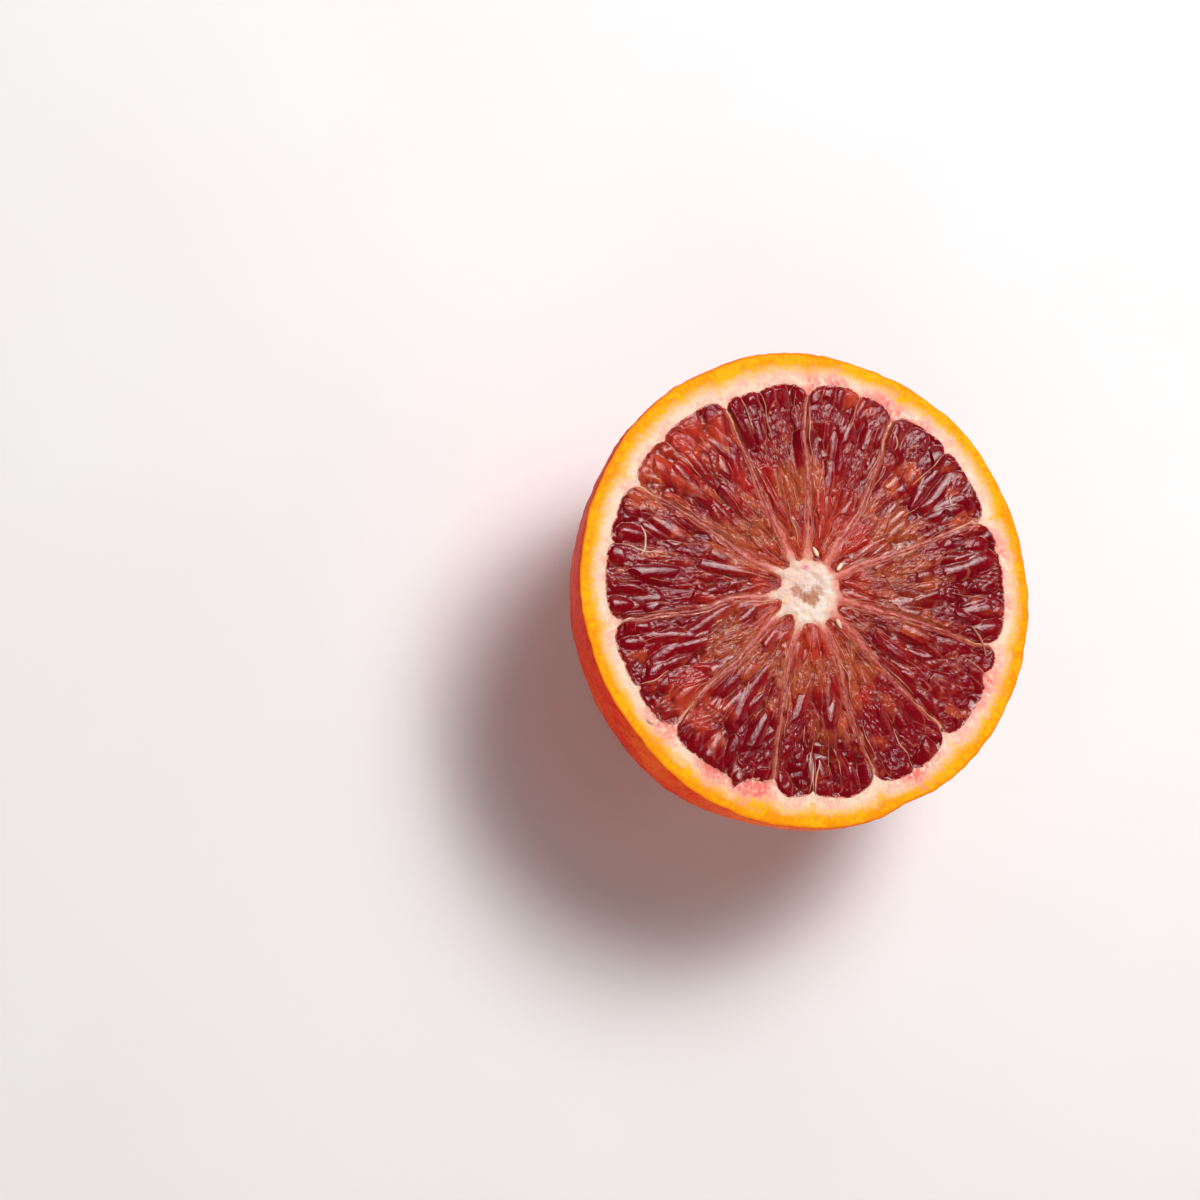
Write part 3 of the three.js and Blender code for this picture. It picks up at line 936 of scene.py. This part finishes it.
def membraneFinish():
    f = Finish("membrane")
    x, y, _, radius = f.axes()
    streak = f.noise(0.9, 3, 0.6, 0.3, f.drawnOut(x, y, radius, 5))
    # its fibres run from the core to the rind
    fibres = f.noise(0.32, 3, 0.6, 0.2, f.drawnOut(x, y, radius, 9))
    base = f.mix((0.33, 0.024, 0.026), (0.53, 0.135, 0.095), streak.ease(0.4, 0.6))
    pink = f.mix((0.47, 0.038, 0.032), (0.67, 0.145, 0.108), streak.ease(0.36, 0.6))
    nearCore = (9.5 - radius + (streak - 0.5) * 4 + (fibres - 0.5) * 3).ease(0, 3)
    outer = (radius - 24 + (f.noise(8, 1) - 0.5) * 14).ease(0, 7)
    base = f.layers(base, [
        (pink, ((18 - radius).ease(0, 9) + (x * 0.03).ease(0, 1) * 0.6) * 0.85),
        ((0.78, 0.32, 0.24), fibres.ease(0.54, 0.66) * 0.5),
        ((0.36, 0.025, 0.018), (1 - fibres.ease(0.34, 0.46)) * 0.5),
        (coreColour(f, x, y, radius), nearCore),
        ((0.7, 0.28, 0.15), outer * (streak.ease(0.3, 0.6) * 0.5 + 0.3)),
        ((0.9, 0.52, 0.38), (radius + (streak - 0.5) * 3 - 29.8).ease(0, 1.8) * 0.85),
    ])
    relief = f.bump(f.noise(0.4, 2, 0.6) * 0.5 + fibres, 0.12, 0.6)
    return f.surface(base, 0.28, relief, {"IOR": 1.4, **moist(0.2, 1.5, 0.6, 0.3)})


# A ribbon on edge from the core to the pith, thin across and deep
def makeMembrane(index, material):
    line = fruit["membranes"][index]
    outerRadius = float(fleshEdge(np.array(line[0]))) + 0.5

    def place(around, along):
        radius = between(membrane["innerRadius"], outerRadius, along)
        angle = np.radians(membraneAngle(line, radius))
        fromEnd = outerRadius - radius
        thick = 1 + unevennessOf(radius, 0, 0, membrane["thickening"], 40 + index)
        thick = thick * membraneThickness(radius)
        flare, flareLength = membrane["flare"]
        thick = thick + flare * (1 - easeBetween(0, flareLength, fromEnd))
        turn = around * math.tau
        waves = (np.sin(turn), np.cos(turn))
        across, lift = (np.sign(wave) * np.abs(wave) ** membrane["squareness"] for wave in waves)
        side = thick / 2 * across
        rise = unevennessOf(radius, 0, 0, membrane["topUnevenness"], 60 + index)
        dive, diveLength = membrane["outerDive"]
        rise = rise - dive * (1 - easeBetween(0, diveLength, fromEnd))
        dive, diveLength = membrane["innerDive"]
        rise = rise - dive * (1 - easeBetween(0, diveLength, radius - membrane["innerRadius"]))
        top = cut + membrane["top"] + rise
        up = between(cut - membrane["depth"], top, 0.5 + 0.5 * lift)
        x = radius * np.cos(angle) - side * np.sin(angle)
        y = radius * np.sin(angle) + side * np.cos(angle)
        return x, y, up

    shape = tubeShape(membrane["around"], membrane["steps"], place)
    piece = pieceFrom(f"membrane_{index + 1:02d}", shape, [material])


print("membranes")
membraneMaterial = membraneFinish()
for number in segments:
    makeMembrane(number, membraneMaterial)


def coreFinish():
    f = Finish("core")
    x, y, _, radius = f.axes()
    cx, cy, size = core["crumbs"]
    crumbs = (size - distanceFrom(x, y, cx, cy)).ease(0, 0.9) * f.noise(0.3, 2).ease(0.42, 0.58)
    hollow = f.attribute("hollow") + (f.noise(0.4, 3, 0.7) - 0.5) * 0.6
    brown = f.mix((0.6, 0.24, 0.18), (0.5, 0.185, 0.085), (x - y).ease(-0.8, 1.2))
    sx, sy, spotSize = core["pinkSpot"]
    base = f.layers(coreColour(f, x, y, radius), [
        ((0.84, 0.62, 0.62), crumbs * 0.8),     # lilac
        (brown, hollow.ease(0.15, 0.85) * 0.9),
        ((0.86, 0.16, 0.32), (spotSize - distanceFrom(x, y, sx, sy)).ease(0, 0.7) * 0.7),
    ])
    relief = f.bump(f.noise(0.35, 3, 0.6), 0.1, 0.5)
    return f.surface(base, 0.5, relief, {"Specular IOR Level": 0.3, **moist(0.12, 1.2, 0.8, 0.5)})


def makeCore():
    hollows = []

    def place(turned, out):
        angle = turned * 360
        radius = out * coreEdge(angle)
        x, y = placeAt(np.radians(angle), radius)
        lumpy = unevennessOf(x, y, 0, core["unevenness"], core["seed"])
        lumpy = lumpy * easeBetween(*core["unevenWithin"], radius)
        cx, cy, size = core["crumbs"]
        crumbs = unevennessOf(x, y, 0, core["crumbRelief"], 9)
        crumbs = crumbs * easeBetween(size, size / 2, np.hypot(x - cx, y - cy))
        ragged = unevennessOf(x, y, 0, core["hollowRaggedness"], 8)
        inner, outer = core["hollowSides"]
        filled = np.ones(x.shape)
        for hx, hy, size, strength in core["hollows"]:
            away = np.hypot(x - hx, y - hy) + ragged
            filled = filled * (1 - strength * (1 - easeBetween(size * inner, size * outer, away)))
        hollows.extend(1 - filled)
        shoulder = core["shoulder"] * easeBetween(0.8, 1, out)
        height = core["top"] + lumpy + crumbs - core["hollowDepth"] * (1 - filled) - shoulder
        return x, y, cut + height

    shape = warpedSheet(core["columns"], core["rows"], place)
    layer = shape.verts.layers.float.new("hollow")
    for vertex, depth in zip(shape.verts, hollows):
        vertex[layer] = depth
    bmesh.ops.remove_doubles(shape, verts=shape.verts, dist=1e-6)
    closeBelow(shape, cut - core["floorBelowCut"])
    piece = pieceFrom("core", shape, [coreFinish()])


print("core")
makeCore()


seed = {
    # angle and distance of the middle, and the angle that it lies at
    "places": [(78, 6, 112), (34, 6.4, 50), (310.5, 7.4, 302)],
    "length": 1.75,
    "width": 0.85,
    "thickness": 0.6,
    "pointed": 0.45,
    "lift": 0.1,
    "tilt": 12,
}


def seedFinish():
    f = Finish("seed")
    base = f.mix((0.86, 0.66, 0.4), (0.9, 0.76, 0.55), f.noise(0.5, 2).ease(0.4, 0.6))
    relief = f.bump(f.noise(0.25, 2, 0.6), 0.04, 0.5)
    return f.surface(base, 0.4, relief, moist(0.15, 1, 0.6, 0.3))


def makeSeed(number, angle, distance, lie, material):
    shape = bmesh.new()
    bmesh.ops.create_uvsphere(shape, u_segments=32, v_segments=20, radius=0.5)
    bmesh.ops.rotate(shape, verts=shape.verts, matrix=Matrix.Rotation(math.radians(90), 3, "Y"))
    for vertex in shape.verts:
        taper = 1 - seed["pointed"] * (vertex.co.x + 0.5)
        vertex.co.y *= taper
        vertex.co.z *= taper
    size = Vector((seed["length"], seed["width"], seed["thickness"])) * mm
    turn = math.radians(angle)
    middle = (distance * math.cos(turn), distance * math.sin(turn), cut + seed["lift"])
    bmesh.ops.scale(shape, verts=shape.verts, vec=size)
    for degrees, axis in ((seed["tilt"], "Y"), (lie, "Z")):
        bmesh.ops.rotate(shape, verts=shape.verts, matrix=Matrix.Rotation(math.radians(degrees), 3, axis))
    bmesh.ops.translate(shape, verts=shape.verts, vec=Vector(middle) * mm)
    piece = pieceFrom(f"seed_{number + 1}", shape, [material])


print("seeds")
seedMaterial = seedFinish()
for number, (angle, distance, lie) in enumerate(seed["places"]):
    makeSeed(number, angle, distance, lie, seedMaterial)


thread = {
    "perSegment": 3,
    "steps": 22,
    "around": 6,
    "width": (0.07, 0.13),
    "length": (2.5, 7),
    "outer": (14, 32),      # distance of its outer end from the middle
    "inner": 6.2,
    "across": (0.08, 0.92),     # where it lies between the segment's two membranes
    "sway": [(3.5, 0.2)],   # size and amount of its bends
    "coreThreads": 2,       # in each segment, running in to the core
    "coreLength": (4, 8),
    "coreInner": 6.4,
    # beside the membranes: the share of sides without one, and the sizes of the others
    "besideMissing": 0.4,
    "besideOuter": (18, 31),
    "besideLength": (6, 11),
    "besideWidth": (0.1, 0.2),
    "besideAway": 0.65,
    "besideSway": [(4, 0.3)],
    # from the notches that are deeper than this
    "notchDepth": 0.45,
    "notchLength": (5, 10),
    "notchWidth": 0.2,
    "underPith": 0.2,
    "lift": 0.02,
    "endWidth": 0.25,       # share of the width that is left at the ends
    "seed": 3,
    # stray ends torn loose by the knife: four places along each, and its width
    "strays": [([(-28.2, 4.5), (-27.3, 5.7), (-27.3, 7.6), (-27.9, 9.2)], 0.34),
               ([(20.4, 7.6), (19.6, 5.4), (18.5, 3.8), (16.3, 2.7)], 0.22),
               ([(27.6, -5.5), (28.8, -6.8), (29.7, -8.5), (30, -10.4)], 0.38),
               ([(0, -33), (-0.3, -31.2), (0.1, -29.3), (0.6, -27.6)], 0.28),
               ([(-1.4, -32.6), (-1, -31), (-0.7, -29.5), (-0.6, -28)], 0.22),
               ([(30.2, -14.1), (29, -12.6), (27.7, -11.5), (26.4, -10.7)], 0.26),
               ([(25.9, 14.4), (25, 14.3), (24.7, 14.9), (25.2, 15.6)], 0.24),
               ([(15.3, 25.6), (15.8, 24.6), (15.9, 23.6), (15.4, 22.7)], 0.3)],
    "pale": [(-27.6, 7.0, 2.6), (24.9, 14.8, 1.4)],     # places where they are pale cream, and their size
}


def threadFinish():
    f = Finish("thread")
    tone = f.noise(3.5, 2, 0.5)
    base = f.mix((0.56, 0.17, 0.1), (0.78, 0.42, 0.25), tone.ease(0.4, 0.66))
    x, y, _, _ = f.axes()
    for px, py, size in thread["pale"]:
        near = (size - distanceFrom(x, y, px, py)).ease(0, 0.6)
        base = f.mix(base, (0.88, 0.62, 0.4), near * 0.9)
    relief = f.bump(f.noise(0.3, 2, 0.6), 0.03, 0.4)
    return f.surface(base, 0.3, relief, moist(0.15, 1, 0.5, 0.3))


# Adds a thin strand that lies on the flesh along a line of places
def addThread(shape, x, y, width):
    height = np.zeros(len(x))
    angle, _ = polar(x, y)
    for index, vesicles in enumerate(vesiclesBySegment):
        low, high = segmentSides(index)
        here = (turnFrom(angle, low[0]) > 0) & (turnFrom(high[0], angle) >= 0)
        if here.any():
            height[here] = segmentSurface(index, vesicles, x[here], y[here])[0]
    evened = np.convolve(np.pad(height, 2, "edge"), np.ones(5) / 5, "valid")
    lifted = np.maximum(height, evened) + thread["lift"]
    steps = len(x) - 1
    goingX, goingY = np.gradient(x), np.gradient(y)
    going = np.hypot(goingX, goingY)

    def place(around, along):
        i = np.rint(along * steps).astype(int)
        turn = around * math.tau
        thick = width / 2 * between(thread["endWidth"], 1, np.sin(along * math.pi) ** 0.5)
        side = thick * np.sin(turn)
        return (x[i] - side * goingY[i] / going[i], y[i] + side * goingX[i] / going[i],
                cut + lifted[i] + thick * np.cos(turn))

    mesh = meshFrom("strand", tubeShape(thread["around"], steps, place))
    shape.from_mesh(mesh)
    bpy.data.meshes.remove(mesh)


def straightThread(angle, outer, length, swaySeed):
    radius = np.linspace(outer, outer - length, thread["steps"] + 1)
    sway = unevennessOf(radius, 0, 0, thread["sway"], swaySeed)
    return placeAt(np.radians(angle) + sway / radius, radius)


def makeThreads():
    chance = random.Random(thread["seed"])
    shape = bmesh.new()
    for index in segments:
        low, high = segmentSides(index)
        for i in range(thread["perSegment"] + thread["coreThreads"]):
            length = chance.uniform(*thread["length"])
            outer = chance.uniform(*thread["outer"])
            if i >= thread["perSegment"]:
                length = chance.uniform(*thread["coreLength"])
                outer = thread["coreInner"] + length
            share = chance.uniform(*thread["across"])
            angle = between(membraneAngle(low, outer), membraneAngle(high, outer), share)
            length = min(length, outer - thread["inner"])
            x, y = straightThread(angle, outer, length, 100 + 20 * index + i)
            addThread(shape, x, y, chance.uniform(*thread["width"]))
        for line, side in ((low, 1), (high, -1)):
            if chance.random() < thread["besideMissing"]:
                continue
            outer = chance.uniform(*thread["besideOuter"])
            inner = outer - chance.uniform(*thread["besideLength"])
            radius = np.linspace(outer, inner, thread["steps"] + 1)
            sway = unevennessOf(radius, 0, 0, thread["besideSway"], 700 + 20 * index + side)
            offset = side * (thread["besideAway"] + sway)
            x, y = placeAt(np.radians(membraneAngle(line, radius)) + offset / radius, radius)
            addThread(shape, x, y, chance.uniform(*thread["besideWidth"]))
        for notch, depth in fruit["sideNotches"]:
            if depth > thread["notchDepth"] and low[0] < notch < high[0]:
                length = chance.uniform(*thread["notchLength"])
                outer = float(fleshEdge(notch)) + thread["underPith"]
                x, y = straightThread(notch, outer, length, 400 + index)
                addThread(shape, x, y, thread["notchWidth"])
    for places, width in thread["strays"]:
        share = np.linspace(0, 1, len(places))
        along = np.linspace(0, 1, thread["steps"] + 1)
        x, y = (np.polyval(np.polyfit(share, values, 3), along) for values in zip(*places))
        addThread(shape, x, y, width)
    piece = pieceFrom("threads", shape, [threadFinish()])


print("threads")
makeThreads()


studio = {
    "floorSize": 3,
    "floorColour": (0.93, 0.95, 0.96),
    "floorClouds": (0.9, 0.9, 0.9),
    "surround": 0.06,
    # each panel: width, height, how far away, angle round the fruit, angle up, brightness, colour
    "panels": [
        ("softbox", 0.56, 0.56, 0.92, 61, 59, 2.7, (0.93, 0.97, 1)),
        ("softboxMiddle", 0.42, 0.42, 0.9, 61, 59, 6.4, (1, 0.95, 0.94)),
        ("softboxHeart", 0.28, 0.28, 0.885, 61, 59, 7.6, (1, 0.89, 0.87)),
        ("hotMiddle", 0.1, 0.1, 0.87, 61, 59, 14, (1, 0.9, 0.88)),
        ("sideRight", 1, 0.5, 1.1, 0, 25, 0.8, (1, 1, 1)),
        ("sideBack", 1, 0.5, 1.1, 90, 25, 0.8, (1, 1, 1)),
        ("fill", 1, 0.6, 1.2, 235, 42, 0.6, (1, 0.95, 0.92)),
        ("lowLeft", 0.8, 0.3, 1.1, 240, 10, 3, (1, 0.76, 0.66)),
        ("lowFront", 0.8, 0.3, 1.1, 275, 10, 2.6, (1, 0.8, 0.72)),
    ],
}


def makePanel(name, width, height, away, angle, up, brightness, colour):
    lamp = bpy.data.lights.new(name, "AREA")
    lamp.shape = "RECTANGLE"
    lamp.size = width
    lamp.size_y = height
    lamp.energy = brightness * math.pi * width * height
    lamp.color = colour
    panel = addObject(name, lamp)
    turn, rise = math.radians(angle), math.radians(up)
    direction = Vector((math.cos(turn) * math.cos(rise), math.sin(turn) * math.cos(rise), math.sin(rise)))
    panel.location = Vector((0, 0, cut * mm)) + direction * away
    panel.rotation_euler = direction.to_track_quat("Z", "Y").to_euler()
    panel.visible_camera = False


def makeStudio():
    shape = bmesh.new()
    bmesh.ops.create_grid(shape, x_segments=1, y_segments=1, size=studio["floorSize"] / 2)
    f = Finish("floor")
    paper = f.mix(studio["floorColour"], studio["floorClouds"], f.noise(40))
    f.surface(paper, 0.7)
    floor = addObject("floor", meshFrom("floor", shape))
    floor.data.materials.append(f.material)
    world = bpy.data.worlds.new("surround")
    world.use_nodes = True
    background = world.node_tree.nodes["Background"]
    background.inputs["Color"].default_value = (1, 1, 1, 1)
    background.inputs["Strength"].default_value = studio["surround"]
    bpy.context.scene.world = world
    for panel in studio["panels"]:
        makePanel(*panel)
    bpy.context.scene.view_settings.view_transform = "Standard"


print("studio")
makeStudio()
